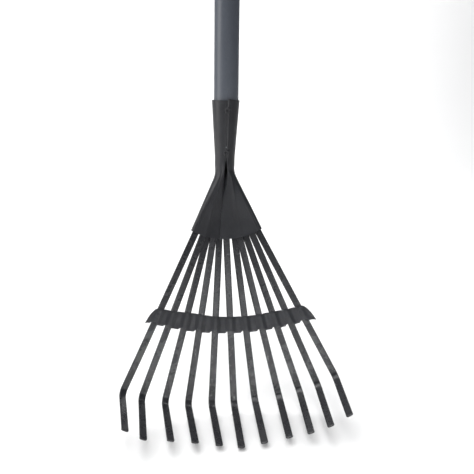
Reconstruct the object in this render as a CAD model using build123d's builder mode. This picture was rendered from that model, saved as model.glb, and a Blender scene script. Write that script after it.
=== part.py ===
from build123d import *
import math
import os

# Leaf rake with a fixed fan head. Millimetres, +Z up along the handle.
# The origin is on the handle's axis at the rim of the head's socket.
# The head hangs below the origin and its hooks turn forward, to -Y.

os.makedirs("parts", exist_ok=True)

# Handle
handle_radius = 13.0
handle_wall = 1.2
handle_length = 1240.0
swage_length = 58.0

# Handle end cap
cap_length = 36.0
cap_plug_length = 25.0
cap_fit = 0.05
cap_step = 0.5
cap_edge_round = 5.0
tongue_thickness = 13.0
tongue_length = 27.0
hang_hole_radius = 3.5
hang_hole_below_top = 13.0

# Socket of the head, rolled from sheet. The pocket's seam passes points that are
# shares of its drift and of the mouth's distance.
sheet = 1.3
rim_clearance = 0.3
swage_clearance = 0.15
neck_radius = 10.0
neck_depth = 70.0
seam_gap = 0.4
slit_top = 61.0
slit_widest = 77.0
slit_bottom = 82.0
slit_width = 3.2
seam_drift = 7.0
seam_path = ((0.1, 0.28), (0.75, 0.65), (1.0, 1.05))
tack_depths = (11.5, 54.0)
tack_radius = 3.4
tack_height = 1.0

# Fan of tines
tine_count = 11
tine_width = 6.5
tine_thickness = 1.8
tine_pitch = 5.4
fan_depth = 74.0
fan_tilt = 11.4
fan_bow = 2.03
root_gap = 1.0
bend_distance = 246.5
hook_turn = 74.0
hook_length = 57.0
bend_radius = 5.0
settle_radius = 40.0
tip_round = 1.9

# Pocket of the head, pressed flat over the tines' inner ends
mouth_distance = 73.5
flare_lag = 2.3
pocket_play = 0.15
layer_gap = 0.16
pocket_side_play = 0.7
fairing_length = 14.0
flatten_length = 64.0
bow_length = 38.0
end_roundness = 80.0

# Crossbar, two pressed plates clamped over the tines. Its blank's reach and spread
# are shares of its distance from the apex and of its bow, and are cut away.
bar_sheet = 1.0
bar_top_distance = 155.5
bar_depth = 17.0
bar_top_radius = 266.0
horn_reach = 2.6
horn_lift = 2.8
horn_bulge = (1.8, 1.5)
bar_side_play = 0.15
bar_seat_gap = 0.02
notch_depth = 2.2
blank_reach = (0.75, 1.4)
blank_spread = 0.75

# Fasteners
handle_rivet_depth = 31.0
handle_rivet_radius = 2.4
handle_rivet_head_radius = 4.6
handle_rivet_head = 1.5
handle_rivet_head_round = 0.9
handle_rivet_tail_radius = 3.4
handle_rivet_tail = 2.6
bar_rivet_radius = 1.5
bar_rivet_head_radius = 2.4
bar_rivet_head = 0.8
bar_rivet_distance = 165.0
rivet_clearance = 0.1

# Values that follow from the sizes above
socket_rim_bore = handle_radius + rim_clearance
socket_rim_radius = socket_rim_bore + sheet
socket_slope = (socket_rim_radius - neck_radius) / neck_depth
swage_end_radius = socket_rim_bore - swage_clearance - socket_slope * swage_length
handle_bore = handle_radius - handle_wall
mid_tine = (tine_count + 1) / 2
outer_angle = tine_pitch * (tine_count - 1) / 2
pocket_flare = outer_angle - flare_lag
neck_station = neck_depth - fan_depth
tine_root = (tine_width + root_gap) / 2 / math.tan(math.radians(tine_pitch))
mouth_half_depth = tine_thickness + layer_gap / 2 + pocket_play + sheet

# Directions of the fan: down its middle, across it and out of its front
down = Vector(0, -math.sin(math.radians(fan_tilt)), -math.cos(math.radians(fan_tilt)))
across = Vector(1, 0, 0)
front = Vector(0, -math.cos(math.radians(fan_tilt)), math.sin(math.radians(fan_tilt)))
fan_apex = Vector(0, 0, -fan_depth)
fan_plane = Plane(origin=fan_apex, x_dir=across, z_dir=front)


def socket_radius(depth):
    """Outer radius of the tapered socket at a depth below its rim."""
    return socket_rim_radius - socket_slope * depth


def swage_radius(depth):
    """Outer radius of the handle's swaged end at a depth below the socket's rim."""
    return handle_radius - (handle_radius - swage_end_radius) * depth / swage_length


def bow_height(x, distance):
    """How far the bowed fan stands forward of its flat plane."""
    radius = fan_bow * distance
    return radius - math.sqrt(radius**2 - x**2)


def tine_plane(number):
    """Plane of a tine's side profile: x runs along the tine and y points forward."""
    x = math.tan(math.radians((number - mid_tine) * tine_pitch))
    rise = bow_height(x, 1.0)
    along = (down + across * x + front * rise).normalized()
    slope = x / (fan_bow - rise)
    width = across + front * slope
    width = (width - along * width.dot(along)).normalized()
    return Plane(origin=fan_apex, x_dir=along, z_dir=-width)


def face_plane(number, distance, height):
    """Plane on a tine's front, a distance from the apex: y runs along the tine."""
    side = tine_plane(number)
    centre = fan_apex + side.x_dir * distance + side.y_dir * height
    return Plane(origin=centre, x_dir=-side.z_dir, z_dir=side.y_dir)


# ---------------------------------------------------------------- handle tube
rivet_out = Vector(0, 1, -socket_slope).normalized()
rivet_seat = Vector(0, socket_radius(handle_rivet_depth), -handle_rivet_depth)
rivet_plane = Plane(origin=rivet_seat, x_dir=across, z_dir=rivet_out)
rivet_tube_bore = swage_radius(handle_rivet_depth) - handle_wall
rivet_grip = socket_radius(handle_rivet_depth) - rivet_tube_bore

with BuildPart() as handle_tube:
    with BuildSketch(Plane.XZ):
        with BuildLine():
            Polyline(
                (handle_radius, handle_length),
                (handle_radius, 0),
                (swage_end_radius, -swage_length),
                (swage_end_radius - handle_wall, -swage_length),
                (handle_bore, 0),
                (handle_bore, handle_length),
                close=True,
            )
        make_face()
    revolve(axis=Axis.Z)
    with BuildSketch(rivet_plane):
        Circle(handle_rivet_radius + rivet_clearance)
    extrude(amount=-handle_radius, mode=Mode.SUBTRACT)

handle_tube.part.label = "handle_tube"
export_step(handle_tube.part, "parts/handle_tube.step")

# ------------------------------------------------------------ handle end cap
cap_radius = handle_radius - cap_step
plug_radius = handle_bore - cap_fit
cap_top = handle_length + cap_length
tongue_cut = 2 * cap_radius

with BuildPart() as handle_end_cap:
    with BuildSketch(Plane.XY.offset(handle_length - cap_plug_length)):
        Circle(plug_radius)
    extrude(amount=cap_plug_length)
    with BuildSketch(Plane.XY.offset(handle_length)):
        Circle(cap_radius)
    extrude(amount=cap_length)
    fillet(handle_end_cap.faces().sort_by(Axis.Z)[-1].edges(), radius=cap_edge_round)
    with BuildSketch(Plane.XY.offset(cap_top)):
        for side in (-1, 1):
            with Locations((0, side * (tongue_thickness + tongue_cut) / 2)):
                Rectangle(2 * tongue_cut, tongue_cut)
    extrude(amount=-tongue_length, mode=Mode.SUBTRACT)
    with BuildSketch(Plane.XZ):
        with Locations((0, cap_top - hang_hole_below_top)):
            Circle(hang_hole_radius)
    extrude(amount=cap_radius, both=True, mode=Mode.SUBTRACT)

handle_end_cap.part.label = "handle_end_cap"
export_step(handle_end_cap.part, "parts/handle_end_cap.step")

# ------------------------------------------------------ rivet in the socket
# the tail clears the tube's round inside, so it starts that much lower
rivet_tail_drop = rivet_clearance + rivet_tube_bore
rivet_tail_drop -= math.sqrt(rivet_tube_bore**2 - handle_rivet_tail_radius**2)

with BuildPart() as handle_rivet:
    with BuildSketch(rivet_plane):
        Circle(handle_rivet_radius)
    extrude(amount=-(rivet_grip + rivet_tail_drop + handle_rivet_tail))
    with BuildSketch(rivet_plane):
        Circle(handle_rivet_head_radius)
    extrude(amount=handle_rivet_head)
    fillet(handle_rivet.faces().sort_by(Axis.Y)[-1].edges(), radius=handle_rivet_head_round)
    with BuildSketch(rivet_plane.offset(-(rivet_grip + rivet_tail_drop))):
        Circle(handle_rivet_tail_radius)
    extrude(amount=-handle_rivet_tail)

handle_rivet.part.label = "handle_rivet"
export_step(handle_rivet.part, "parts/handle_rivet.step")


# ------------------------------------------------------------------- ferrule
def flattening(distance, length):
    """Share of the way from the round neck to the finished pocket."""
    return min(1.0, max(0.0, (distance - neck_station) / length))


def ferrule_half_width(distance):
    """A round taper to the neck, then straight flares that are faired into it."""
    if distance <= neck_station:
        return socket_radius(fan_depth + distance)
    reach = mouth_distance * math.cos(math.radians(outer_angle))
    tine_edge = reach * math.tan(math.radians(outer_angle))
    tine_edge += tine_width / 2 / math.cos(math.radians(outer_angle))
    corner = tine_edge + pocket_side_play + sheet
    line = corner - (reach - distance) * math.tan(math.radians(pocket_flare))
    neck_line = corner - (reach - neck_station) * math.tan(math.radians(pocket_flare))
    fade = 1 - flattening(distance, fairing_length)
    return line + (neck_radius - neck_line) * fade**3


def ferrule_half_depth(distance):
    """The pocket closes from the round neck to the two layers of tines."""
    if distance <= neck_station:
        return socket_radius(fan_depth + distance)
    open_share = 0.5 + 0.5 * math.cos(math.pi * flattening(distance, flatten_length))
    return mouth_half_depth + (neck_radius - mouth_half_depth) * open_share


def ferrule_plane(distance):
    """Section planes turn from level at the neck to square with the fan."""
    tilt = math.radians(fan_tilt * flattening(distance, fairing_length))
    normal = Vector(0, -math.sin(tilt), -math.cos(tilt))
    axis = down if distance > 0 else Vector(0, 0, -1)
    return Plane(origin=fan_apex + axis * distance, x_dir=across, z_dir=normal)


def ferrule_outline(distance, inset):
    """Front edge points, back edge points and end point of one section of the ferrule."""
    half_width = ferrule_half_width(distance) - inset
    half_depth = ferrule_half_depth(distance) - inset
    corner_angle = math.radians(45 + (end_roundness - 45) * flattening(distance, flatten_length))
    corner_x = half_width - half_depth * (1 - math.cos(corner_angle))
    sink = half_depth * (1 - math.sin(corner_angle))
    crown_radius = (corner_x**2 + sink**2) / (2 * sink)
    bow_part = flattening(distance, bow_length)
    bow_distance = max(distance, tine_root)
    front_edge = []
    back_edge = []
    for step in (-1, -0.5, 0, 0.5, 1):
        x = corner_x * step
        lift = bow_part * bow_height(x, bow_distance)
        crown = half_depth - (crown_radius - math.sqrt(crown_radius**2 - x**2))
        front_edge.append((x, lift + crown))
        back_edge.append((x, lift - crown))
    return front_edge, back_edge, (half_width, bow_part * bow_height(half_width, bow_distance))


pocket_stations = (2, 8, 14, 21, 28, 36, 44, 53, 62, 82)
seam_points = [(-seam_drift * drift, -mouth_distance * reach) for drift, reach in seam_path]

with BuildPart() as ferrule:
    for station in (-fan_depth, neck_station, *pocket_stations):
        front_points, back_points, tip = ferrule_outline(station, 0)
        with BuildSketch(ferrule_plane(station)):
            with BuildLine():
                Spline(*front_points)
                ThreePointArc(front_points[-1], tip, back_points[-1])
                Spline(*reversed(back_points))
                ThreePointArc(back_points[0], (-tip[0], tip[1]), front_points[0])
            make_face()
    loft(ruled=True)
    # the mouth is cut to an arc about the fan's apex
    with BuildSketch(fan_plane):
        Rectangle(4 * mouth_distance, 2 * mouth_distance, align=(Align.CENTER, Align.MAX))
        Circle(mouth_distance, mode=Mode.SUBTRACT)
    extrude(amount=mouth_distance, both=True, mode=Mode.SUBTRACT)
    # seam of the rolled socket, the slit below it and the seam of the pocket
    with BuildSketch(Plane.XZ):
        with Locations((0, -slit_top / 2)):
            Rectangle(seam_gap, slit_top + 2 * sheet)
        with BuildLine():
            Polyline(
                (0, -slit_top),
                (slit_width / 2, -slit_widest),
                (0, -slit_bottom),
                (-slit_width / 2, -slit_widest),
                close=True,
            )
        make_face()
    extrude(amount=2 * socket_rim_radius, mode=Mode.SUBTRACT)
    with BuildSketch(fan_plane):
        with BuildLine():
            Polyline((0, fan_depth - slit_widest), *seam_points)
        trace(line_width=seam_gap)
    extrude(amount=2 * neck_radius, mode=Mode.SUBTRACT)
    # weld tacks across the seam
    for depth in tack_depths:
        with Locations((0, tack_radius - tack_height - socket_radius(depth), -depth)):
            Sphere(tack_radius)
    # bore of the socket and cavity of the pocket
    for station in (-fan_depth - sheet, neck_station, *pocket_stations):
        front_points, back_points, tip = ferrule_outline(station, sheet)
        with BuildSketch(ferrule_plane(station)):
            with BuildLine():
                Spline(*front_points)
                ThreePointArc(front_points[-1], tip, back_points[-1])
                Spline(*reversed(back_points))
                ThreePointArc(back_points[0], (-tip[0], tip[1]), front_points[0])
            make_face()
    loft(ruled=True, mode=Mode.SUBTRACT)
    with BuildSketch(rivet_plane):
        Circle(handle_rivet_radius + rivet_clearance)
    extrude(amount=-2 * sheet, mode=Mode.SUBTRACT)

ferrule.part.label = "ferrule"
export_step(ferrule.part, "parts/ferrule.step")

# --------------------------------------------------------------------- tines
hook_along = hook_length * math.cos(math.radians(hook_turn))
hook_forward = hook_length * math.sin(math.radians(hook_turn))

for number in range(1, tine_count + 1):
    rear_face = -tine_thickness / 2
    layer = layer_gap / 2 if number % 2 == 0 else -tine_thickness - layer_gap / 2
    with BuildPart() as tine:
        with BuildSketch(tine_plane(number)):
            with BuildLine():
                FilletPolyline(
                    (tine_root, layer),
                    (mouth_distance, layer),
                    (bar_top_distance, rear_face),
                    (bend_distance, rear_face),
                    (bend_distance + hook_along, rear_face + hook_forward),
                    radius=(settle_radius, settle_radius, bend_radius + tine_thickness),
                )
                offset(amount=tine_thickness, side=Side.LEFT)
            make_face()
        extrude(amount=tine_width / 2, both=True)
        forward = Axis(fan_apex, tine_plane(number).y_dir)
        small_faces = tine.faces().filter_by(lambda face: face.area < 1.01 * tine_width * tine_thickness)
        end_face = small_faces.sort_by(forward)[-1]
        corners = end_face.edges().sort_by(SortBy.LENGTH)[0:2]
        fillet(corners, radius=tip_round)
        if number in (1, tine_count):
            with BuildSketch(face_plane(number, bar_rivet_distance, 0)):
                Circle(bar_rivet_radius + rivet_clearance)
            extrude(amount=tine_thickness, both=True, mode=Mode.SUBTRACT)
    name = f"tine_{number:02d}"
    tine.part.label = name
    export_step(tine.part, f"parts/{name}.step")

# ------------------------------------------------------------------ crossbar
tine_front = tine_thickness / 2
bar_mid_distance = bar_top_distance + bar_depth / 2
bar_centre = bar_top_radius - bar_top_distance
bar_bottom_radius = bar_top_radius + bar_depth
bar_end_angle = outer_angle + math.degrees(math.atan(tine_width / 2 / bar_mid_distance))
outline_height = 4 * bar_top_distance * (1 - math.cos(math.radians(outer_angle)))


def along_fan(distance, angle):
    """Point of the flat fan plane at a distance and an angle from the apex."""
    turn = math.radians(angle)
    return (distance * math.sin(turn), -distance * math.cos(turn))


def on_bar_arc(radius, angle):
    """Point of an arc of the crossbar that lies in a direction from the fan's apex."""
    turn = math.radians(angle)
    reach = math.sqrt(radius**2 - (bar_centre * math.sin(turn)) ** 2) - bar_centre * math.cos(turn)
    return along_fan(reach, angle)


def sheet_arc(distance, height):
    """Points of a bowed blank's section, at a height above the fan's middle surface."""
    radius = fan_bow * distance - height
    x = blank_spread * radius
    rise = height + radius - math.sqrt(radius**2 - x**2)
    return (-x, rise), (0, height), (x, rise)


top_corner = on_bar_arc(bar_top_radius, bar_end_angle)
bottom_corner = on_bar_arc(bar_bottom_radius, bar_end_angle)
horn_tip = (bottom_corner[0] + horn_reach, bottom_corner[1] + horn_lift)
horn_middle = (
    (top_corner[0] + horn_tip[0]) / 2 + horn_bulge[0],
    (top_corner[1] + horn_tip[1]) / 2 + horn_bulge[1],
)

bar_sheets = {
    "crossbar_back_plate": (-tine_front - bar_seat_gap - bar_sheet, -tine_front - bar_seat_gap),
    "crossbar_front_plate": (-tine_front - bar_seat_gap, -tine_front - bar_seat_gap + bar_sheet),
}

for name, (low, high) in bar_sheets.items():
    is_front = name == "crossbar_front_plate"
    with BuildPart() as plate:
        for reach in blank_reach:
            distance = bar_top_distance * reach
            low_arc = sheet_arc(distance, low)
            high_arc = sheet_arc(distance, high)
            with BuildSketch(Plane(origin=fan_apex + down * distance, x_dir=across, z_dir=down)):
                with BuildLine():
                    ThreePointArc(*low_arc)
                    Line(low_arc[2], high_arc[2])
                    ThreePointArc(*reversed(high_arc))
                    Line(high_arc[0], low_arc[0])
                make_face()
        loft(ruled=True)
        if is_front:
            # a rib is pressed up over each tine, and its channel takes the tine
            for number in range(1, tine_count + 1):
                with BuildSketch(face_plane(number, bar_mid_distance, low + bar_sheet / 2)):
                    Rectangle(tine_width + 2 * bar_side_play + 2 * bar_sheet, 3 * bar_depth)
                extrude(amount=tine_front + bar_seat_gap + bar_sheet - (low + bar_sheet / 2))
            for number in range(1, tine_count + 1):
                with BuildSketch(face_plane(number, bar_mid_distance, low - bar_sheet)):
                    Rectangle(tine_width + 2 * bar_side_play, 4 * bar_depth)
                extrude(amount=tine_front + bar_seat_gap - (low - bar_sheet), mode=Mode.SUBTRACT)
            for number in range(1, tine_count + 1):
                angle = (number - mid_tine) * tine_pitch
                notch = on_bar_arc(bar_bottom_radius, angle)
                with BuildSketch(fan_plane):
                    with Locations(notch):
                        Ellipse(tine_width / 2 + bar_side_play + bar_sheet / 2, notch_depth, rotation=angle)
                extrude(amount=outline_height, both=True, mode=Mode.SUBTRACT)
        with BuildSketch(fan_plane):
            with BuildLine():
                ThreePointArc(
                    (-top_corner[0], top_corner[1]),
                    (0, -bar_top_distance),
                    top_corner,
                )
                ThreePointArc(top_corner, horn_middle, horn_tip)
                Line(horn_tip, bottom_corner)
                ThreePointArc(
                    bottom_corner,
                    (0, -bar_top_distance - bar_depth),
                    (-bottom_corner[0], bottom_corner[1]),
                )
                Line((-bottom_corner[0], bottom_corner[1]), (-horn_tip[0], horn_tip[1]))
                ThreePointArc(
                    (-horn_tip[0], horn_tip[1]),
                    (-horn_middle[0], horn_middle[1]),
                    (-top_corner[0], top_corner[1]),
                )
            make_face()
        extrude(amount=outline_height, both=True, mode=Mode.INTERSECT)
        for number in (1, tine_count):
            with BuildSketch(face_plane(number, bar_rivet_distance, 0)):
                Circle(bar_rivet_radius + rivet_clearance)
            extrude(amount=2 * tine_thickness, both=True, mode=Mode.SUBTRACT)
    plate.part.label = name
    export_step(plate.part, f"parts/{name}.step")

# ------------------------------------------------------- rivets of the crossbar
bar_face = tine_front + bar_seat_gap + bar_sheet

with BuildPart() as crossbar_rivets:
    for number in (1, tine_count):
        with BuildSketch(face_plane(number, bar_rivet_distance, -bar_face)):
            Circle(bar_rivet_radius)
        extrude(amount=2 * bar_face)
        with BuildSketch(face_plane(number, bar_rivet_distance, bar_face)):
            Circle(bar_rivet_head_radius)
        extrude(amount=bar_rivet_head)
        with BuildSketch(face_plane(number, bar_rivet_distance, -bar_face)):
            Circle(bar_rivet_head_radius)
        extrude(amount=-bar_rivet_head)

crossbar_rivets.part.label = "crossbar_rivets"
export_step(crossbar_rivets.part, "parts/crossbar_rivets.step")
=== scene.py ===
import math

import bmesh
import bpy
from mathutils import Matrix, Vector


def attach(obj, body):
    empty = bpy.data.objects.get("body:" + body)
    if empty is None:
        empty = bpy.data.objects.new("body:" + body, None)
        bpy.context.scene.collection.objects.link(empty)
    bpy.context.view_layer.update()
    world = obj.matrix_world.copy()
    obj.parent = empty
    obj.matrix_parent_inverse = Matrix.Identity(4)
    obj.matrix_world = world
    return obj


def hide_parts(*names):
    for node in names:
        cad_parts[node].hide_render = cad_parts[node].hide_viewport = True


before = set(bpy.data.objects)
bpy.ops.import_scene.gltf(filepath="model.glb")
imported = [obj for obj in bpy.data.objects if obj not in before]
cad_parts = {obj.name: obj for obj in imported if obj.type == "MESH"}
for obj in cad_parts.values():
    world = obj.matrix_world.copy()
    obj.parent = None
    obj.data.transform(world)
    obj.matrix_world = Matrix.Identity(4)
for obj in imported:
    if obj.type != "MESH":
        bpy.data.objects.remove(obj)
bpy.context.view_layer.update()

MM = 0.001

# ------------------------------------------------------------- sizes of the part, mm
HANDLE_R, HANDLE_WALL, HANDLE_L, SWAGE_L = 13.0, 1.2, 1240.0, 58.0
CAP_L, CAP_PLUG, CAP_R = 36.0, 25.0, 12.5
TONGUE_T, TONGUE_L, HANG_R, HANG_DOWN = 13.0, 27.0, 3.5, 13.0
SHEET, RIM_CLEAR, SWAGE_CLEAR = 1.3, 0.3, 0.15
NECK_R, NECK_D, FAN_D = 10.0, 70.0, 74.0
SLIT_TOP, SLIT_WIDE, SLIT_END = 59.5, 75.0, 84.0
TINES, TINE_W, TINE_T, PITCH = 11, 6.5, 1.8, 5.4
TILT, BOW = math.radians(11.4), 2.03
TINE_ROOT, LAYER = 39.7, 0.98
BEND_AT, HOOK_TURN, HOOK_L = 245.9, 74.0, 56.3
MOUTH, FLARE, SIDE_PLAY, PLAY, GAP = 73.5, 24.7, 0.7, 0.15, 0.16
FAIRING, FLATTEN, BOW_L, END_ROUND = 14.0, 64.0, 38.0, 80.0
BAR_TOP, BAR_DEPTH, BAR_R, BAR_SHEET = 155.5, 17.0, 222.0, 1.0
RIM_BORE = HANDLE_R + RIM_CLEAR
RIM_R = RIM_BORE + SHEET - 0.02
SLOPE = (RIM_R - NECK_R) / NECK_D
SWAGE_R = RIM_BORE - SWAGE_CLEAR - SLOPE * SWAGE_L
OUTER = math.radians(PITCH * (TINES - 1) / 2)
NECK_S = NECK_D - FAN_D
MOUTH_HALF = TINE_T + GAP / 2 + PLAY + SHEET

DOWN = Vector((0, -math.sin(TILT), -math.cos(TILT)))
ACROSS = Vector((1, 0, 0))
FRONT = Vector((0, -math.cos(TILT), math.sin(TILT)))
APEX = Vector((0, 0, -FAN_D))


def smooth(t):
    t = min(1.0, max(0.0, t))
    return t * t * (3 - 2 * t)


def bell(t):
    return math.exp(-t * t)


def wave(*terms):
    """A slow wander that stands for hand and press marks."""
    return sum(a * math.sin(k + b) for a, k, b in terms) / len(terms)


# ------------------------------------------------------------------ building meshes
def add_mesh(name, verts, faces, sharp=38.0):
    """A mesh from points in mm. Edges sharper than the angle stay crisp."""
    mesh = bpy.data.meshes.new(name)
    mesh.from_pydata([Vector(v) * MM for v in verts], [], faces)
    bm = bmesh.new()
    bm.from_mesh(mesh)
    bmesh.ops.remove_doubles(bm, verts=bm.verts, dist=1e-7)
    bmesh.ops.recalc_face_normals(bm, faces=bm.faces)
    bm.to_mesh(mesh)
    bm.free()
    mesh.shade_smooth()
    mesh.set_sharp_from_angle(angle=math.radians(sharp))
    obj = bpy.data.objects.new(name, mesh)
    bpy.context.scene.collection.objects.link(obj)
    return obj


def skin(rings, around=True, ends=True):
    """Points and faces over a row of rings of equal length."""
    verts, faces = [], []
    count = len(rings[0])
    for ring in rings:
        verts += ring
    for i in range(len(rings) - 1):
        for j in range(count if around else count - 1):
            k = (j + 1) % count
            a, b = i * count, (i + 1) * count
            faces.append((a + j, a + k, b + k, b + j))
    if ends:
        for start, flip in ((0, True), ((len(rings) - 1) * count, False)):
            centre = sum((Vector(v) for v in verts[start : start + count]), Vector()) / count
            verts.append(centre)
            hub = len(verts) - 1
            for j in range(count):
                k = (j + 1) % count
                faces.append((hub, start + k, start + j) if flip else (hub, start + j, start + k))
    return verts, faces


def join(parts):
    """One point and face list from several."""
    verts, faces = [], []
    for v, f in parts:
        base = len(verts)
        verts += v
        faces += [tuple(i + base for i in face) for face in f]
    return verts, faces


def dome(centre, out, radius, height, rounds=8, around=40, crown=None, dish=0.0):
    """A closed rivet or weld head: straight skirt, round crown, seated at centre."""
    out = out.normalized()
    side = out.orthogonal().normalized()
    up = out.cross(side)
    rings = []
    profile = [(radius * 0.55, -0.4), (radius, -0.4), (radius, height * 0.25)]
    for n in range(1, rounds + 1):
        a = math.pi / 2 * n / (rounds + 0.6)
        h = height * (0.25 + 0.75 * math.sin(a))
        r = radius * math.cos(a) ** 0.8
        profile.append((r, h - dish * bell(r / (0.42 * radius))))
    for r, h in profile:
        ring = []
        for n in range(around):
            a = 2 * math.pi * n / around
            wob = 1 + (crown(a, r / radius) if crown else 0.0)
            spoke = side * math.cos(a) + up * math.sin(a)
            ring.append(centre + spoke * (r * wob) + out * h)
        rings.append(ring)
    return skin(rings)


def lathe(profile, around=96, seam=None):
    """A closed body of revolution about the handle's axis from (radius, z) points."""
    rings = []
    for r, z in profile:
        ring = []
        for n in range(around):
            a = 2 * math.pi * n / around
            rr = r + (seam(a, z) if seam else 0.0)
            ring.append(Vector((rr * math.cos(a), rr * math.sin(a), z)))
        rings.append(ring)
    return rings


# ------------------------------------------------------------------------- materials
def coat(name, dark, mid, light, rough=(0.4, 0.56), grain=520.0, dent=45.0, bump=0.18, speck=0.5,
         spec=0.5, stretch=(1, 1, 1), wear=None):
    """Paint or plastic: mottled colour, uneven gloss, orange-peel skin and rubbed edges."""
    mat = bpy.data.materials.new(name)
    mat.use_nodes = True
    nodes, links = mat.node_tree.nodes, mat.node_tree.links
    nodes.clear()
    out = nodes.new("ShaderNodeOutputMaterial")
    shader = nodes.new("ShaderNodeBsdfPrincipled")
    links.new(shader.outputs["BSDF"], out.inputs["Surface"])
    shader.inputs["Specular IOR Level"].default_value = spec

    coord = nodes.new("ShaderNodeTexCoord")
    place = nodes.new("ShaderNodeMapping")
    place.inputs["Scale"].default_value = stretch
    links.new(coord.outputs["Object"], place.inputs["Vector"])

    def cloud(scale, detail, roughness=0.55):
        tex = nodes.new("ShaderNodeTexNoise")
        tex.inputs["Scale"].default_value = scale
        tex.inputs["Detail"].default_value = detail
        tex.inputs["Roughness"].default_value = roughness
        links.new(place.outputs["Vector"], tex.inputs["Vector"])
        return tex

    broad = cloud(dent, 5.0)
    ramp = nodes.new("ShaderNodeValToRGB")
    ramp.color_ramp.elements[0].position, ramp.color_ramp.elements[0].color = 0.28, (*dark, 1)
    ramp.color_ramp.elements[1].position, ramp.color_ramp.elements[1].color = 0.74, (*light, 1)
    middle = ramp.color_ramp.elements.new(0.5)
    middle.color = (*mid, 1)
    links.new(broad.outputs["Fac"], ramp.inputs["Fac"])
    colour = ramp.outputs["Color"]

    if speck:
        flecks = cloud(grain * 1.9, 2.0, 0.5)
        fleck_ramp = nodes.new("ShaderNodeValToRGB")
        fleck_ramp.color_ramp.elements[0].position = 0.36
        fleck_ramp.color_ramp.elements[0].color = (1 - 0.35 * speck,) * 3 + (1,)
        fleck_ramp.color_ramp.elements[1].position = 0.66
        fleck_ramp.color_ramp.elements[1].color = (1, 1, 1, 1)
        links.new(flecks.outputs["Fac"], fleck_ramp.inputs["Fac"])
        darken = nodes.new("ShaderNodeMix")
        darken.data_type, darken.blend_type = "RGBA", "MULTIPLY"
        darken.inputs["Factor"].default_value = 1.0
        links.new(colour, darken.inputs["A"])
        links.new(fleck_ramp.outputs["Color"], darken.inputs["B"])
        colour = darken.outputs["Result"]

    if wear:
        geo = nodes.new("ShaderNodeNewGeometry")
        rub = nodes.new("ShaderNodeValToRGB")
        rub.color_ramp.elements[0].position, rub.color_ramp.elements[0].color = wear[0], (0, 0, 0, 1)
        rub.color_ramp.elements[1].position, rub.color_ramp.elements[1].color = wear[1], (*wear[2], 1)
        links.new(geo.outputs["Pointiness"], rub.inputs["Fac"])
        lighten = nodes.new("ShaderNodeMix")
        lighten.data_type, lighten.blend_type = "RGBA", "ADD"
        links.new(broad.outputs["Fac"], lighten.inputs["Factor"])
        links.new(colour, lighten.inputs["A"])
        links.new(rub.outputs["Color"], lighten.inputs["B"])
        colour = lighten.outputs["Result"]
    links.new(colour, shader.inputs["Base Color"])

    haze = cloud(dent * 2.3, 4.0)
    gloss = nodes.new("ShaderNodeMapRange")
    gloss.inputs["From Min"].default_value, gloss.inputs["From Max"].default_value = 0.3, 0.7
    gloss.inputs["To Min"].default_value, gloss.inputs["To Max"].default_value = rough
    links.new(haze.outputs["Fac"], gloss.inputs["Value"])
    links.new(gloss.outputs["Result"], shader.inputs["Roughness"])

    peel = cloud(grain, 3.0)
    swell = cloud(dent * 3.0, 2.0)
    fine = nodes.new("ShaderNodeBump")
    fine.inputs["Strength"].default_value, fine.inputs["Distance"].default_value = bump, 0.0002
    links.new(peel.outputs["Fac"], fine.inputs["Height"])
    coarse = nodes.new("ShaderNodeBump")
    coarse.inputs["Strength"].default_value, coarse.inputs["Distance"].default_value = bump * 0.6, 0.0006
    links.new(swell.outputs["Fac"], coarse.inputs["Height"])
    links.new(fine.outputs["Normal"], coarse.inputs["Normal"])
    links.new(coarse.outputs["Normal"], shader.inputs["Normal"])
    return mat


def finish_piece(obj, mat, slot, *nodes):
    """Material, body and replaced CAD nodes of one visible piece; the slot argument is not used."""
    obj.data.materials.clear()
    obj.data.materials.append(mat)
    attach(obj, "root")
    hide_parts(*nodes)


def round_edges(obj, width, segments=2, angle=50.0):
    mod = obj.modifiers.new("round", "BEVEL")
    mod.width, mod.segments = width * MM, segments
    mod.limit_method, mod.angle_limit = "ANGLE", math.radians(angle)
    mod.harden_normals = False
    return obj


handle_paint = coat("handle_paint", (0.066, 0.074, 0.090), (0.077, 0.086, 0.104), (0.089, 0.099, 0.119),
                    rough=(0.34, 0.46), grain=700.0, dent=26.0, bump=0.07, speck=0.25, stretch=(1, 1, 0.25))
ferrule_coat = coat("ferrule_coat", (0.0145, 0.0150, 0.0180), (0.0185, 0.0192, 0.0228),
                    (0.0240, 0.0248, 0.0290),
                    rough=(0.36, 0.5), grain=620.0, dent=60.0, bump=0.16, speck=0.5, spec=0.42,
                    wear=(0.53, 0.62, (0.03, 0.031, 0.034)))
tine_coat = coat("tine_coat", (0.0165, 0.0168, 0.0195), (0.0205, 0.0209, 0.0240), (0.0255, 0.0260, 0.0295),
                 rough=(0.23, 0.32), grain=700.0, dent=38.0, bump=0.055, speck=0.4,
                 wear=(0.54, 0.64, (0.02, 0.0205, 0.022)))
bar_coat = coat("crossbar_coat", (0.0145, 0.0155, 0.0195), (0.0185, 0.0198, 0.0245), (0.0235, 0.0252, 0.0305),
                rough=(0.34, 0.5), grain=640.0, dent=70.0, bump=0.16, speck=0.5,
                wear=(0.53, 0.62, (0.026, 0.028, 0.031)))
rivet_steel = coat("rivet_steel", (0.022, 0.0226, 0.0245), (0.028, 0.0286, 0.031), (0.036, 0.037, 0.04),
                   rough=(0.3, 0.48), grain=800.0, dent=120.0, bump=0.14, speck=0.4,
                   wear=(0.52, 0.6, (0.05, 0.05, 0.052)))
cap_plastic = coat("cap_plastic", (0.012, 0.012, 0.013), (0.016, 0.016, 0.0172), (0.021, 0.021, 0.022),
                   rough=(0.42, 0.6), grain=900.0, dent=50.0, bump=0.22, speck=0.3)

# ------------------------------------------------------------------------ handle tube


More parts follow.
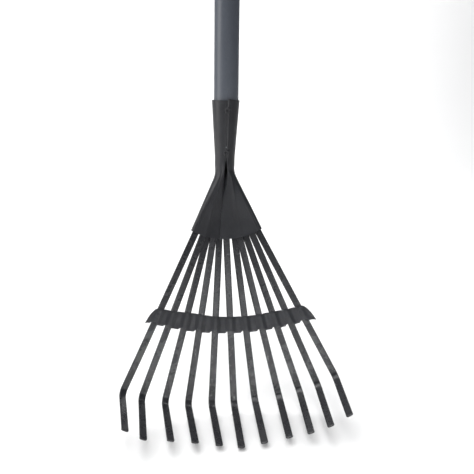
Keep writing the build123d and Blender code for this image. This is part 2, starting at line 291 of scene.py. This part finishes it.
def tube_wall(a, z):
    """The tube's faint weld line at the back and the slight waviness of its paint."""
    line = 0.035 * bell((math.atan2(math.sin(a - 1.9), math.cos(a - 1.9))) / 0.03)
    return -0.05 + line + 0.02 * wave((1, 2 * a, z * 0.011), (1, 3 * a, z * 0.023 + 1.0))


outer_zs = [HANDLE_L - 0.35] + [HANDLE_L - 1.0 - n * (HANDLE_L - 2.0) / 150 for n in range(151)]
profile = [(HANDLE_R - HANDLE_WALL + 0.3, HANDLE_L), (HANDLE_R - 0.4, HANDLE_L)]
profile += [(HANDLE_R - (0.12 if n == 0 else 0.0), z) for n, z in enumerate(outer_zs)]
for n in range(0, 25):
    d = SWAGE_L * n / 24
    profile.append((HANDLE_R - (HANDLE_R - SWAGE_R) * d / SWAGE_L, -d))
profile += [(SWAGE_R - 0.3, -SWAGE_L), (SWAGE_R - HANDLE_WALL, -SWAGE_L)]
profile += [(HANDLE_R - HANDLE_WALL, 0.0)]
profile += [(HANDLE_R - HANDLE_WALL, HANDLE_L * n / 30) for n in range(1, 30)]
profile += [(HANDLE_R - HANDLE_WALL, HANDLE_L - 0.3)]
rings = lathe(profile, 144, tube_wall)
tube_mesh = skin(rings + [rings[0]], ends=False)
handle = add_mesh("handle_tube_painted", *tube_mesh)
finish_piece(handle, handle_paint, "handle_paint", "handle_tube")

# --------------------------------------------------------------------- handle end cap


def cap_ring(z, around=96):
    """Section of the moulded cap: round at the tube, flattened to a hanging tongue above."""
    top = HANDLE_L + CAP_L
    t = smooth((z - (top - TONGUE_L - 5.0)) / 7.0)
    edge = 5.0
    over = max(0.0, z - (top - edge))
    tuck = edge - math.sqrt(max(0.0, edge**2 - over**2)) if over > 0 else 0.0
    radius = CAP_R - 0.05 - tuck
    thick = TONGUE_T / 2 - 0.6 * tuck
    ring = []
    for n in range(around):
        a = 2 * math.pi * n / around
        x, y = radius * math.cos(a), radius * math.sin(a)
        soft = thick * math.tanh(y / thick * 1.25) if abs(y) > 1e-9 else 0.0
        ring.append(Vector((x, y * (1 - t) + soft * t, z)))
    return ring


top = HANDLE_L + CAP_L
zs = [HANDLE_L + 0.02, HANDLE_L + 0.5] + [HANDLE_L + 1 + n * 0.8 for n in range(38)]
zs = [z for z in zs if z < top - 5.2] + [top - 5.0 + 5.0 * math.sin(math.pi / 2 * n / 12) for n in range(13)]
PLUG_PROFILE = (
    (9.6, HANDLE_L - CAP_PLUG),
    (11.15, HANDLE_L - CAP_PLUG + 1.6),
    (11.2, HANDLE_L - 8.0),
    (11.2, HANDLE_L),
)
plug = lathe(PLUG_PROFILE, 96)
first = cap_ring(zs[0])
lip = [Vector((v.x * 0.975, v.y * 0.975, HANDLE_L)) for v in first]
cap = add_mesh("handle_cap_moulded", *skin(plug + [lip] + [cap_ring(z) for z in zs]))
hole_rings = []
for y, flare in ((-9.0, 1.75), (-6.4, 1.18), (-5.6, 1.0), (5.6, 1.0), (6.4, 1.18), (9.0, 1.75)):
    ring = []
    for n in range(64):
        a = 2 * math.pi * n / 64
        across, rise = HANG_R * flare * math.cos(a), HANG_R * flare * math.sin(a)
        ring.append(Vector((across, y, top - HANG_DOWN + rise)))
    hole_rings.append(ring)
hole = add_mesh("cap_hole_tool", *skin(hole_rings))
cut = cap.modifiers.new("hole", "BOOLEAN")
cut.operation, cut.object, cut.solver = "DIFFERENCE", hole, "EXACT"
graph = bpy.context.evaluated_depsgraph_get()
cut_mesh = bpy.data.meshes.new_from_object(cap.evaluated_get(graph))
cap.modifiers.clear()
cap.data = cut_mesh
cap.data.shade_smooth()
cap.data.set_sharp_from_angle(angle=math.radians(40))
bpy.data.objects.remove(hole)
finish_piece(cap, cap_plastic, "cap_plastic", "handle_end_cap")

# ---------------------------------------------------------------------------- ferrule


def socket_r(depth):
    return RIM_R - SLOPE * depth


def flat_share(s, length):
    return min(1.0, max(0.0, (s - NECK_S) / length))


def bow_height(x, s):
    r = BOW * s
    return r - math.sqrt(max(0.0, r * r - x * x))


def half_width(s):
    if s <= NECK_S:
        return socket_r(FAN_D + s) + 0.55 * bell((s + 3.0) / 7.0)
    reach = MOUTH * math.cos(OUTER)
    corner = reach * math.tan(OUTER) + TINE_W / 2 / math.cos(OUTER) + SIDE_PLAY + SHEET
    line = corner - (reach - s) * math.tan(math.radians(FLARE))
    neck_line = corner - (reach - NECK_S) * math.tan(math.radians(FLARE))
    t = flat_share(s, MOUTH - NECK_S)
    waist = 0.55 * bell((s + 3.0) / 7.0) - 0.6 * smooth((s + 2.0) / 12.0) * (1 - 0.5 * t)
    return line + waist + (NECK_R - neck_line) * (1 - flat_share(s, FAIRING)) ** 3


def half_depth(s):
    if s <= NECK_S:
        return socket_r(FAN_D + s)
    share = 0.5 + 0.5 * math.cos(math.pi * flat_share(s, FLATTEN))
    return MOUTH_HALF + (NECK_R - MOUTH_HALF) * share


def seam_x(s):
    """Where the rolled sheet's two edges meet, drifting left down the pocket."""
    if s <= NECK_S:
        return 0.6 - 0.5 * (FAN_D + s) / NECK_D
    t = (s - NECK_S) / (MOUTH - NECK_S)
    return 0.1 - 7.2 * smooth(t * 1.08)


def bend_x(s):
    """The socket is pressed slightly out of line with the pocket."""
    d = FAN_D + s
    if d <= NECK_D:
        return -0.45 - 0.55 * d / NECK_D
    return -1.0 + 0.6 * smooth((d - NECK_D) / 14)


def seam_gap(s):
    """Width of the opening between the two edges: shut, then the slit, then shut."""
    d = FAN_D + s
    if d <= SLIT_TOP:
        return 0.24
    if d <= SLIT_WIDE:
        return 0.24 + 3.1 * ((d - SLIT_TOP) / (SLIT_WIDE - SLIT_TOP)) ** 0.9
    if d <= SLIT_END:
        return 0.5 + 2.84 * (1 - smooth((d - SLIT_WIDE) / (SLIT_END - SLIT_WIDE)))
    return 0.24 + 0.26 * (1 - smooth((d - SLIT_END) / 14))


def press_marks(x, s, hw):
    """How far the front of the sheet stands off its plain shape, mm."""
    d = FAN_D + s
    sx = seam_x(s)
    off = x - sx
    lift = 0.0
    # the right edge of the socket's seam stands proud and rolls back down to the barrel
    socket = smooth((64 - d) / 8)
    if off > 0:
        lift += 1.05 * socket * bell((off - 1.3) / 0.95)
        lift -= 0.16 * socket * bell((off - 3.6) / 1.0)
    else:
        lift -= 0.16 * socket * bell((off + 0.9) / 0.8)
    # the slit's lips roll outward
    lip = smooth((d - 61) / 9) * (1 - smooth((d - 79) / 9))
    lift += 0.75 * lip * bell((abs(off) - 2.3) / 1.3)
    if d > 72:
        # valley pressed in between two ridges that spread from the slit
        v = smooth((d - 73) / 9)
        t = s / MOUTH
        left_w = 3.0 + 12.5 * t
        right_w = 3.6 + 19.0 * t
        deep = (2.6 * (1 - t) ** 0.9 + 0.75) * v
        u = -off / left_w if off < 0 else off / right_w
        lift -= deep * max(0.0, 1 - u) ** (1.15 if off < 0 else 1.0)
        wall = min(1.0, u) * (1 - smooth((u - 1) / (1.0 if off < 0 else 0.8)))
        lift += v * t * wall * (1.15 if off < 0 else 0.7)
        ridge_l = 0.34 * bell((u - 1.05) / 0.16) if off < 0 else 0.0
        ridge_r = 0.42 * bell((u - 1.02) / 0.13) if off > 0 else 0.0
        lift += (ridge_l + ridge_r) * v * (1 - 0.55 * t)
        # second crease on the left, and the dark gutter right under the slit
        gutter = bell((d - 88) / 11)
        lift -= 1.5 * gutter * bell(off / 1.5)
        lift += 0.3 * v * bell((off + 7.5 + 5.0 * t) / 1.1) * bell((t - 0.55) / 0.33) * (1 if off < 0 else 0)
        # rolled bands along both sides
        inside = hw - abs(x)
        lift -= 0.42 * v * bell((inside - 3.4) / 0.7)
        lift += 0.12 * v * bell((inside - 4.8) / 0.8)
        lift += 0.2 * smooth((s - MOUTH + 5.0 + 0.0024 * x * x) / 4.0) * smooth((inside - 1.0) / 3.0)
    return lift


def section(s, inset):
    """The quantities of one section: half sizes, corner, crown and bow."""
    w, h = half_width(s) - inset, half_depth(s) - inset
    corner = math.radians(45 + (END_ROUND - 45) * flat_share(s, FLATTEN))
    cx = w - h * (1 - math.cos(corner))
    sink = h * (1 - math.sin(corner))
    crown = (cx * cx + sink * sink) / (2 * sink)
    return w, h, cx, crown, flat_share(s, BOW_L), max(s, TINE_ROOT)


def sheet_point(s, part, f, inset):
    """A point of the rolled sheet: part of the loop, fraction along that part, depth in the sheet."""
    w, h, cx, crown, bow_part, bow_s = section(s, inset)
    full_w = half_width(s)
    sx, gap = seam_x(s), seam_gap(s)

    def lift_at(x):
        return bow_part * bow_height(x, bow_s)

    def crown_at(x):
        return h - (crown - math.sqrt(max(0.0, crown * crown - x * x)))

    if part in ("front_left", "front_right"):
        sign = -1 if part == "front_left" else 1
        start = sx + sign * gap / 2
        x = start + (sign * cx - start) * f
        y = lift_at(x) + crown_at(x) + press_marks(x, s, full_w)
        return x, y
    if part == "back":
        x = -cx + 2 * cx * f
        y = lift_at(x) - crown_at(x)
        dent = 0.25 * bell(x / (4 + 0.25 * max(0.0, s))) * smooth(s / 20) if s > 0 else 0.0
        return x, y + dent
    sign = -1 if part == "left_end" else 1
    front_end = Vector((sign * cx, lift_at(cx) + crown_at(cx) + press_marks(sign * cx, s, full_w)))
    back_end = Vector((sign * cx, lift_at(cx) - crown_at(cx)))
    tip = Vector((sign * w, lift_at(w)))
    # circle through the three points
    a, b, c = front_end, tip, back_end
    den = 2 * (a.x * (b.y - c.y) + b.x * (c.y - a.y) + c.x * (a.y - b.y))
    ux = (a.dot(a) * (b.y - c.y) + b.dot(b) * (c.y - a.y) + c.dot(c) * (a.y - b.y)) / den
    uy = (a.dot(a) * (c.x - b.x) + b.dot(b) * (a.x - c.x) + c.dot(c) * (b.x - a.x)) / den
    hub = Vector((ux, uy))
    r = (a - hub).length
    a0 = math.atan2(a.y - uy, a.x - ux)
    a1 = math.atan2(c.y - uy, c.x - ux)
    at = math.atan2(b.y - uy, b.x - ux)
    span = (a1 - a0) % (2 * math.pi)
    if (at - a0) % (2 * math.pi) > span:
        span -= 2 * math.pi
    turn = a0 + span * (f if part == "left_end" else 1 - f)
    if part == "right_end":
        turn = a0 + span * (1 - f)
    return ux + r * math.cos(turn), uy + r * math.sin(turn)


def to_space(s, x, y):
    tilt = TILT * flat_share(s, FAIRING)
    axis = DOWN if s > 0 else Vector((0, 0, -1))
    front = Vector((0, -math.cos(tilt), math.sin(tilt)))
    return APEX + axis * s + ACROSS * (x + bend_x(s)) + front * y


columns = []
fine = [0.0, 0.004, 0.012, 0.022, 0.034, 0.048, 0.064, 0.082, 0.102, 0.124, 0.148]
fine += [0.175 + 0.0236 * n for n in range(29)]
fine += [0.858 + 0.0115 * n for n in range(12)]
fine = [f for f in fine if f < 0.99] + [1.0]
columns += [("front_left", f) for f in fine]
columns += [("left_end", n / 16) for n in range(1, 16)]
columns += [("back", n / 64) for n in range(65)]
columns += [("right_end", n / 16) for n in range(1, 16)]
columns += [("front_right", f) for f in reversed(fine)]


def mouth_reach(part, f):
    """Distance of a column's last point, on the mouth's arc about the apex."""
    s = MOUTH * 0.93
    for _ in range(12):
        x = sheet_point(s, part, f, 0.0)[0]
        s = math.sqrt(max(1.0, MOUTH**2 - x * x))
    return s


reach = [mouth_reach(part, f) for part, f in columns]
stations = [-FAN_D + n * 1.0 for n in range(70)] + [-4.0 + n * 0.75 for n in range(6)]
stations += [0.5 + (MOUTH - 0.5) * n / 108 for n in range(109)]

rings = []
for number, station in enumerate(stations):
    outer, inner = [], []
    for (part, f), last in zip(columns, reach):
        s = station
        if s > 0:
            s = station + (last - MOUTH) * (station / MOUTH) ** 2
        for inset, row in ((0.0, outer), (SHEET, inner)):
            x, y = sheet_point(s, part, f, inset)
            point = to_space(s, x, y)
            if part == "front_right":
                # the right edge of the sheet was cut a little long at the rim
                point.z += 1.7 * (1 - f) * smooth(1 - number / 14)
            row.append(point)
    rings.append(outer + list(reversed(inner)))

count = len(columns)
verts, faces = [], []
for ring in rings:
    verts += ring
full = 2 * count
for i in range(len(rings) - 1):
    for j in range(full):
        k = (j + 1) % full
        faces.append((i * full + j, i * full + k, (i + 1) * full + k, (i + 1) * full + j))
for base in (0, (len(rings) - 1) * full):
    for j in range(count - 1):
        a, b = base + j, base + j + 1
        faces.append((a, b, base + full - 2 - j, base + full - 1 - j))

tacks = []
for depth in (10.0, 54.0):
    centre = Vector((seam_x(depth - FAN_D) + bend_x(depth - FAN_D), -socket_r(depth) + 0.15, -depth))
    tacks.append(dome(centre, Vector((0, -1, -0.06)), 3.2, 1.7, rounds=10, around=48, dish=1.3,
                      crown=lambda a, q: 0.1 * math.sin(2 * a + 1) + 0.07 * math.sin(5 * a) * q))
    for x, z, lean, radius, height in ((1.5, 2.6, 0.1, 1.3, 0.8), (-1.7, 2.2, -0.1, 1.1, 0.6)):
        at = centre + Vector((x, 0.1, z))
        tacks.append(dome(at, Vector((lean, -1, 0.1)), radius, height, rounds=6, around=24))
ferrule = add_mesh("ferrule_pressed", *join([(verts, faces), *tacks]), sharp=42.0)
round_edges(ferrule, 0.22, 2, 60.0)
finish_piece(ferrule, ferrule_coat, "ferrule_coat", "ferrule")

# ------------------------------------------------------------------------------ tines
# how each tine differs from the even fan: side shift 80 mm out, its growth per 100 mm, extra
# length, extra hook turn (degrees), extra hook length, hook twist (degrees). Most values were
# fitted by a program and rounded; they aren't chosen by hand
TINE_LEANS = (
    (0.7, 1.6, 0.7, 3.5, -2.7, -2.2),
    (1.4, -0.7, 0.0, 0.0, -0.8, -1.7),
    (0.0, 0.9, -0.5, 2.5, -1.1, 0.8),
    (-0.7, 2.0, -0.9, 2.4, -1.0, 1.2),
    (-0.7, 3.0, -1.6, -0.2, 0.3, 0.6),
    (-0.2, 3.0, 0.0, 0.3, 3.0, -1.5),
    (1.9, 1.2, -2.1, -1.6, 2.3, -0.4),
    (0.4, 3.7, 0.9, 0.0, 0.0, -1.0),
    (0.0, 3.3, 0.1, -2.0, 1.3, -1.1),
    (-0.1, 1.4, 1.6, -1.3, 0.5, -0.1),
    (-0.5, -0.1, 1.0, -0.5, -0.4, 1.3),
)


def tine_axes(number):
    """Direction along a tine, across it and out of its front face."""
    x = math.tan(math.radians((number - (TINES + 1) / 2) * PITCH))
    rise = BOW - math.sqrt(BOW**2 - x * x)
    along = (DOWN + ACROSS * x + FRONT * rise).normalized()
    slope = x / (BOW - rise)
    side = ACROSS + FRONT * slope
    side = (side - along * side.dot(along)).normalized()
    out = side.cross(along).normalized()
    if out.y > 0:
        out = -out
    return along, side, out


def side_shift(number, s):
    at80, growth = TINE_LEANS[number - 1][:2]
    return at80 + growth * (s - 80) / 100


def rounded_path(points, radii):
    """Points along a polyline whose corners are rounded, with the length run so far."""
    path = [Vector(points[0])]
    for i in range(1, len(points) - 1):
        p, a, b = Vector(points[i]), Vector(points[i - 1]), Vector(points[i + 1])
        u, v = (a - p).normalized(), (b - p).normalized()
        turn = math.pi - u.angle(v)
        if turn < 1e-4:
            continue
        cut_back = min(radii[i - 1] * math.tan(turn / 2), 0.45 * (a - p).length, 0.45 * (b - p).length)
        r = cut_back / math.tan(turn / 2)
        mid = (u + v).normalized()
        hub = p + mid * (r / math.cos(turn / 2))
        first, last = p + u * cut_back, p + v * cut_back
        steps = max(4, int(math.degrees(turn) / 4))
        a0 = first - hub
        total = a0.angle_signed(last - hub)
        for n in range(steps + 1):
            ang = -total * n / steps
            c, s = math.cos(ang), math.sin(ang)
            path.append(hub + Vector((a0.x * c - a0.y * s, a0.x * s + a0.y * c)))
    path.append(Vector(points[-1]))
    out = [path[0]]
    for a, b in zip(path, path[1:]):
        length = (b - a).length
        if length < 1e-6:
            continue
        steps = max(1, int(length / 3.0))
        for n in range(1, steps + 1):
            out.append(a.lerp(b, n / steps))
    return out


def strip_section(width, thick, corner):
    """Outline of the flat strip: rounded edges and flat faces."""
    w, t = width / 2, thick / 2
    r = min(corner, w * 0.98, t * 0.98)
    pts = []
    corners = ((w - r, t - r, 0), (-w + r, t - r, 90), (-w + r, -t + r, 180), (w - r, -t + r, 270))
    for cx, cy, start in corners:
        for n in range(5):
            a = math.radians(start + 90 * n / 4)
            pts.append((cx + r * math.cos(a), cy + r * math.sin(a)))
    top = [(x, t) for x in (w * 0.5, 0.0, -w * 0.5)]
    bottom = [(x, -t) for x in (-w * 0.5, 0.0, w * 0.5)]
    return pts[:5] + top + pts[5:15] + bottom + pts[15:]


def make_tine(number):
    along, side, out = tine_axes(number)
    at80, growth, extra, turn_more, hook_more, twist = TINE_LEANS[number - 1]
    layer = (LAYER if number % 2 == 0 else -LAYER)
    bend = BEND_AT + extra
    turn = math.radians(HOOK_TURN + turn_more)
    hook = HOOK_L + hook_more
    end = (bend + hook * math.cos(turn), hook * math.sin(turn))
    path = rounded_path(
        [(TINE_ROOT, layer), (MOUTH, layer), (BAR_TOP, 0.0), (bend, 0.0), end], (60.0, 60.0, 7.6)
    )
    runs = [0.0]
    for a, b in zip(path, path[1:]):
        runs.append(runs[-1] + (b - a).length)
    total = runs[-1]
    tip_r = 1.0
    rows = [(run, p) for run, p in zip(runs, path) if run < total - tip_r - 0.2]
    direction = (path[-1] - path[-2]).normalized()
    for n in range(10):
        back = tip_r * (1 - math.sin(math.pi / 2 * n / 9))
        rows.append((total - back, path[-1] - direction * back))
    rings = []
    phase = 1.7 * number
    hook_start = total - hook * 0.93
    for i, (run, p) in enumerate(rows):
        a = rows[max(0, i - 1)][1]
        b = rows[min(len(rows) - 1, i + 1)][1]
        tangent2 = (b - a).normalized()
        past = max(0.0, run - hook_start)
        shift = side_shift(number, min(p.x, bend)) + math.tan(math.radians(twist)) * past
        lean = math.atan(growth / 100)
        sway = 0.0
        if BAR_TOP + 14 < p.x < bend - 8 and past == 0:
            t = (p.x - BAR_TOP - 14) / (bend - 8 - BAR_TOP - 14)
            sway = 0.22 * math.sin(math.pi * t) ** 2 * math.sin(phase)
        centre = APEX + along * p.x + out * (p.y + sway) + side * shift
        tangent = (along * tangent2.x + out * tangent2.y)
        tangent += side * (math.tan(lean) * tangent2.x + (math.tan(math.radians(twist)) if past > 0 else 0.0))
        tangent.normalize()
        across = (side - tangent * side.dot(tangent)).normalized()
        normal = across.cross(tangent).normalized()
        if normal.dot(out * tangent2.x - along * tangent2.y) < 0:
            normal = -normal
        back = total - run
        width, thick = TINE_W + 0.5, TINE_T
        corner = 0.5
        if back < tip_r:
            q = tip_r - back
            width -= 2 * (tip_r - math.sqrt(max(0.0, tip_r**2 - q * q)))
            thick -= 0.5 * (q / tip_r) ** 3
        ring = [centre + across * x + normal * y for x, y in strip_section(width, thick, corner)]
        if back < tip_r:
            # the cut end is slightly convex
            ring = [v - tangent * (0.35 * (abs((v - centre).dot(across)) / (TINE_W / 2)) ** 2) for v in ring]
        rings.append(ring)
    obj = add_mesh(f"tine_strip_{number:02d}", *skin(rings), sharp=34.0)
    finish_piece(obj, tine_coat, "tine_coat", f"tine_{number:02d}")
    return obj


for number in range(1, TINES + 1):
    make_tine(number)

# --------------------------------------------------------------------------- crossbar
BAR_CENTRE = BAR_R - BAR_TOP
SKEW = 0.042
END_ANGLE = math.degrees(OUTER) + math.degrees(math.atan(TINE_W / 2 / (BAR_TOP + BAR_DEPTH / 2)))


def arc_reach(radius, angle):
    t = math.radians(angle)
    return math.sqrt(radius**2 - (BAR_CENTRE * math.sin(t)) ** 2) - BAR_CENTRE * math.cos(t)


def fan_surface(s, angle, height):
    """A point a height in front of the bowed middle surface of the fan."""
    t = math.radians(angle)
    x, y = s * math.sin(t), s * math.cos(t)
    radius = BOW * y
    lean = x / radius
    rise = radius - math.sqrt(radius * radius - x * x)
    normal = (FRONT * math.sqrt(1 - lean * lean) - ACROSS * lean).normalized()
    return APEX + ACROSS * x + DOWN * y + FRONT * rise + normal * height


def tine_offset(s, angle):
    """Nearest tine and the sideways distance from its middle, mm."""
    best = None
    for number in range(1, TINES + 1):
        middle = (number - (TINES + 1) / 2) * PITCH + math.degrees(side_shift(number, s) / s)
        off = math.radians(angle - middle) * s
        if best is None or abs(off) < abs(best[1]):
            best = (number, off)
    return best


def rib(off, flat, foot):
    return 1 - smooth((abs(off) - flat) / foot)


def bar_edges(angle):
    """Distance from the apex of the front plate's top and bottom edge at an angle."""
    side = -1 if angle < 0 else 1
    a = abs(angle)
    tip = 29.15 if side < 0 else 29.95
    top_end = END_ANGLE - (1.5 if side < 0 else 0.6)
    low = arc_reach(BAR_R + BAR_DEPTH, min(a, END_ANGLE))
    if a <= top_end:
        high = arc_reach(BAR_R, a)
    else:
        start, t = arc_reach(BAR_R, top_end), min(1.0, (a - top_end) / (tip - top_end))
        end = low + (1.5 if side < 0 else 2.4) - 0.45
        high = start + (end - start) * (1 - math.sqrt(max(0.0, 1 - t**2.1)))
    high -= 1.7 * bell((angle + 14) / 7) + 0.8 * bell((angle - 17) / 4.5)
    if a > END_ANGLE:
        t = min(1.0, (a - END_ANGLE) / (tip - END_ANGLE))
        low = low + (1.5 if side < 0 else 2.4) * t**1.5
        low = max(low, high + 0.25)
    return high, low


def bottom_cut(s, angle):
    """The arch over each leaving tine and the slanted corner beside it."""
    number, off = tine_offset(s, angle)
    arch = 2.0 * (1 - smooth((abs(off) - 2.3) / 1.0))
    arch += 0.5 * bell(off / 1.6)
    slant = 0.0
    if -6.3 < off < -2.6:
        slant = 2.2 * smooth((off + 6.3) / 2.6)
    if number == 1 and off < -2.6:
        slant = 1.9 * bell((off + 3.9) / 0.9)
    return max(arch, slant)


def plate(name, angles, rows, edges, front, back, skew):
    rings = []
    for angle in angles:
        high, low = edges(angle)
        ring_front, ring_back = [], []
        for row in range(rows + 1):
            v = row / rows
            s = high + (low - high) * v
            shift = skew * s * math.sin(math.radians(angle))
            ring_front.append(fan_surface(s + shift, angle, front(s + shift, angle, v)))
            ring_back.append(fan_surface(s + shift, angle, back(s + shift, angle, v)))
        rings.append(ring_front + list(reversed(ring_back)))
    return add_mesh(name, *skin(rings), sharp=36.0)


def front_height(s, angle, v):
    number, off = tine_offset(s, angle)
    base, top = 0.6, TINE_T / 2 + 0.02 + BAR_SHEET
    wobble = 0.09 * math.sin(number * 2.4 + v * 3.1)
    h = base + (top - base) * rib(off, 1.3, 5.0) + 0.2 * bell(off / 2.4)
    # ribs stand fullest at the top edge, and a roll runs along the bottom edge
    h += wobble * rib(off, 2.0, 3.0)
    h -= 0.22 * bell((v - 0.02) / 0.05) + 0.18 * bell((v - 0.99) / 0.05)
    dimple = 0.0
    for side in (-1, 1):
        a0 = side * math.degrees(OUTER) - (0.0 if side < 0 else 0.6)
        x = math.radians(angle - a0) * s
        y = s - (164.4 if side < 0 else 170.4)
        dimple += 0.3 * bell(math.hypot(x, y) / 1.2) - 0.14 * bell((math.hypot(x, y) - 2.4) / 0.7)
    if angle > 23.4:
        for k in range(4):
            u = (s - 164) * 0.8 + math.radians(angle - 25.6) * s * 0.75 - 2.6 * k + 2.0
            dimple += 0.12 * bell(u / 0.5) * bell((angle - 25.8) / 1.6) * bell((v - 0.35) / 0.3)
    return h + dimple


def front_back_height(s, angle, v):
    number, off = tine_offset(s, angle)
    base, top = -0.92, TINE_T / 2 + 0.02
    return base + (top - base) * rib(off, 3.1, 1.7)


def front_edges(angle):
    high, low = bar_edges(angle)
    cut_away = bottom_cut(low, angle)
    return high, max(high + 0.25, low - cut_away)


def back_edges(angle):
    high, low = bar_edges(angle)
    trim = 0.9 * smooth(abs(angle) / 4) + 0.3
    if abs(angle) <= END_ANGLE - 0.8:
        return high + 0.6, low - 1.4
    return min(low - 0.4, high + trim), max(high + 0.3, low - 1.4)


front_angles = [-29.15 + 59.1 * n / 700 for n in range(701)]
front_plate = plate("crossbar_front_pressed", front_angles, 26, front_edges, front_height,
                    front_back_height, SKEW)
round_edges(front_plate, 0.16, 2, 50.0)
finish_piece(front_plate, bar_coat, "crossbar_coat", "crossbar_front_plate")


def back_face(s, angle, v):
    return -TINE_T / 2 - 0.02


def back_rear(s, angle, v):
    number, off = tine_offset(s, angle)
    stiff = 0.35 * bell((v - 0.5) / 0.2) * smooth((28.2 - abs(angle)) / 1.5)
    return -TINE_T / 2 - 0.02 - BAR_SHEET + stiff * 0.6 + 0.12 * rib(off, 2.6, 1.6)


back_angles = [-28.8 + 58.4 * n / 500 for n in range(501)]
back_plate = plate("crossbar_back_pressed", back_angles, 20, back_edges, back_face, back_rear, SKEW)
round_edges(back_plate, 0.16, 2, 50.0)
finish_piece(back_plate, bar_coat, "crossbar_coat", "crossbar_back_plate")

# ----------------------------------------------------------------------------- rivets
heads = []
for number, s in ((1, 165.0), (TINES, 168.0)):
    along, side, out = tine_axes(number)
    at = APEX + along * s + side * side_shift(number, s)
    front_seat = at + out * (TINE_T / 2 + BAR_SHEET - 0.25)
    heads.append(dome(front_seat, out, 2.0, 0.55, rounds=8, around=40, dish=0.25))
    heads.append(dome(at - out * (TINE_T / 2 + BAR_SHEET - 0.1), -out, 2.4, 0.8, rounds=8, around=40))
bar_rivets = add_mesh("crossbar_rivet_heads", *join(heads), sharp=40.0)
finish_piece(bar_rivets, rivet_steel, "rivet_steel", "crossbar_rivets")

rivet_depth = 31.0
out = Vector((0, 1, -SLOPE)).normalized()
seat = Vector((0, socket_r(rivet_depth), -rivet_depth))
heads = [dome(seat - out * 0.05, out, 4.5, 1.5, rounds=12, around=64)]
shank = []
for depth, r in ((0.2, 2.35), (-2.9, 2.35), (-2.9, 3.3), (-4.6, 3.2), (-5.3, 2.4)):
    side = Vector((1, 0, 0))
    up = out.cross(side)
    ring = []
    for n in range(40):
        a = 2 * math.pi * n / 40
        ring.append(seat + out * depth + side * (r * math.cos(a)) + up * (r * math.sin(a)))
    shank.append(ring)
heads.append(skin(shank))
socket_rivet = add_mesh("socket_rivet_head", *join(heads), sharp=40.0)
finish_piece(socket_rivet, rivet_steel, "rivet_steel", "handle_rivet")


# ----------------------------------------------------------- floor, backdrop and light
def stage_material(name, low, high):
    mat = bpy.data.materials.new(name)
    mat.use_nodes = True
    nodes, links = mat.node_tree.nodes, mat.node_tree.links
    shader = nodes["Principled BSDF"]
    shader.inputs["Roughness"].default_value = 0.9
    shader.inputs["Specular IOR Level"].default_value = 0.1
    tex = nodes.new("ShaderNodeTexNoise")
    tex.inputs["Scale"].default_value = 3.0
    ramp = nodes.new("ShaderNodeValToRGB")
    ramp.color_ramp.elements[0].color = (low, low, low, 1)
    ramp.color_ramp.elements[1].color = (high, high, high, 1)
    links.new(tex.outputs["Fac"], ramp.inputs["Fac"])
    links.new(ramp.outputs["Color"], shader.inputs["Base Color"])
    return mat


paper = stage_material("paper", 0.9, 0.93)
FLOOR = -0.3235
sweep = []
for n in range(45):
    if n < 20:
        y, z, wide = -1.6 + 2.9 * n / 20, FLOOR, 1.0
    else:
        a = math.pi / 2 * (n - 20) / 24
        y, z, wide = 1.3 + 0.6 * math.sin(a), FLOOR + 0.8 * (1 - math.cos(a)), 1.0 - 0.45 * (n - 20) / 24
    sweep.append([Vector((300 + x * 90 * wide, y * 1000, z * 1000)) for x in range(-30, 31, 5)])
floor = add_mesh("studio_sweep", *skin(sweep, around=False, ends=False))
floor.data.materials.append(paper)


def soft_light(name, place, target, size, power, tint=(1, 1, 1)):
    data = bpy.data.lights.new(name, "AREA")
    data.shape, data.size, data.size_y = "RECTANGLE", size[0], size[1]
    data.energy, data.color = power, tint
    light = bpy.data.objects.new(name, data)
    light.location = place
    light.rotation_euler = (Vector(target) - Vector(place)).to_track_quat("-Z", "Y").to_euler()
    bpy.context.scene.collection.objects.link(light)
    return light


soft_light("overhead", (-0.75, -0.2, 1.9), (-0.1, 0.1, -0.3), (1.7, 1.8), 38.0)
soft_light("left_bank", (-1.6, -0.25, 0.35), (0.0, 0.0, -0.05), (1.0, 1.7), 17.0, (1.0, 0.985, 0.965))
soft_light("front_card", (0.11, -0.8, -0.24), (0.0, -0.04, -0.28), (0.14, 0.16), 0.42, (0.97, 0.98, 1.0))
glow = soft_light("floor_glow", (0.05, -0.8, 0.7), (0.03, -0.25, -0.3235), (0.06, 0.06), 0.42)
glow.data.spread = math.radians(5)
soft_light("front_top", (-0.2, -1.4, 1.5), (0.0, 0.0, -0.3), (0.5, 1.0), 10.0)
soft_light("back_wash", (0.0, 0.9, 1.6), (0.0, 1.7, -0.1), (2.6, 0.8), 36.0)

world = bpy.data.worlds.new("studio_air")
bpy.context.scene.world = world
world.use_nodes = True
world.node_tree.nodes["Background"].inputs["Color"].default_value = (0.93, 0.96, 1.0, 1)
world.node_tree.nodes["Background"].inputs["Strength"].default_value = 0.15

# ------------------------------------------------------------------------------ camera
lens = bpy.data.cameras.new("camera")
lens.sensor_width, lens.lens = 36.0, 38.245
lens.shift_x, lens.shift_y = 0.0067, -0.1587
lens.clip_start, lens.clip_end = 0.01, 20.0
camera = bpy.data.objects.new("camera", lens)
right = Vector((0.98923, -0.1459, 0.01147))
up = Vector((0.01047, 0.14873, 0.98882))
back = right.cross(up).normalized()
up = back.cross(right).normalized()
turn = Matrix((right.normalized(), up, back)).transposed().to_4x4()
camera.matrix_world = Matrix.Translation(Vector((-69.78, -527.16, 14.56)) * MM) @ turn
bpy.context.scene.collection.objects.link(camera)
bpy.context.scene.camera = camera
bpy.context.scene.view_settings.view_transform = "Standard"
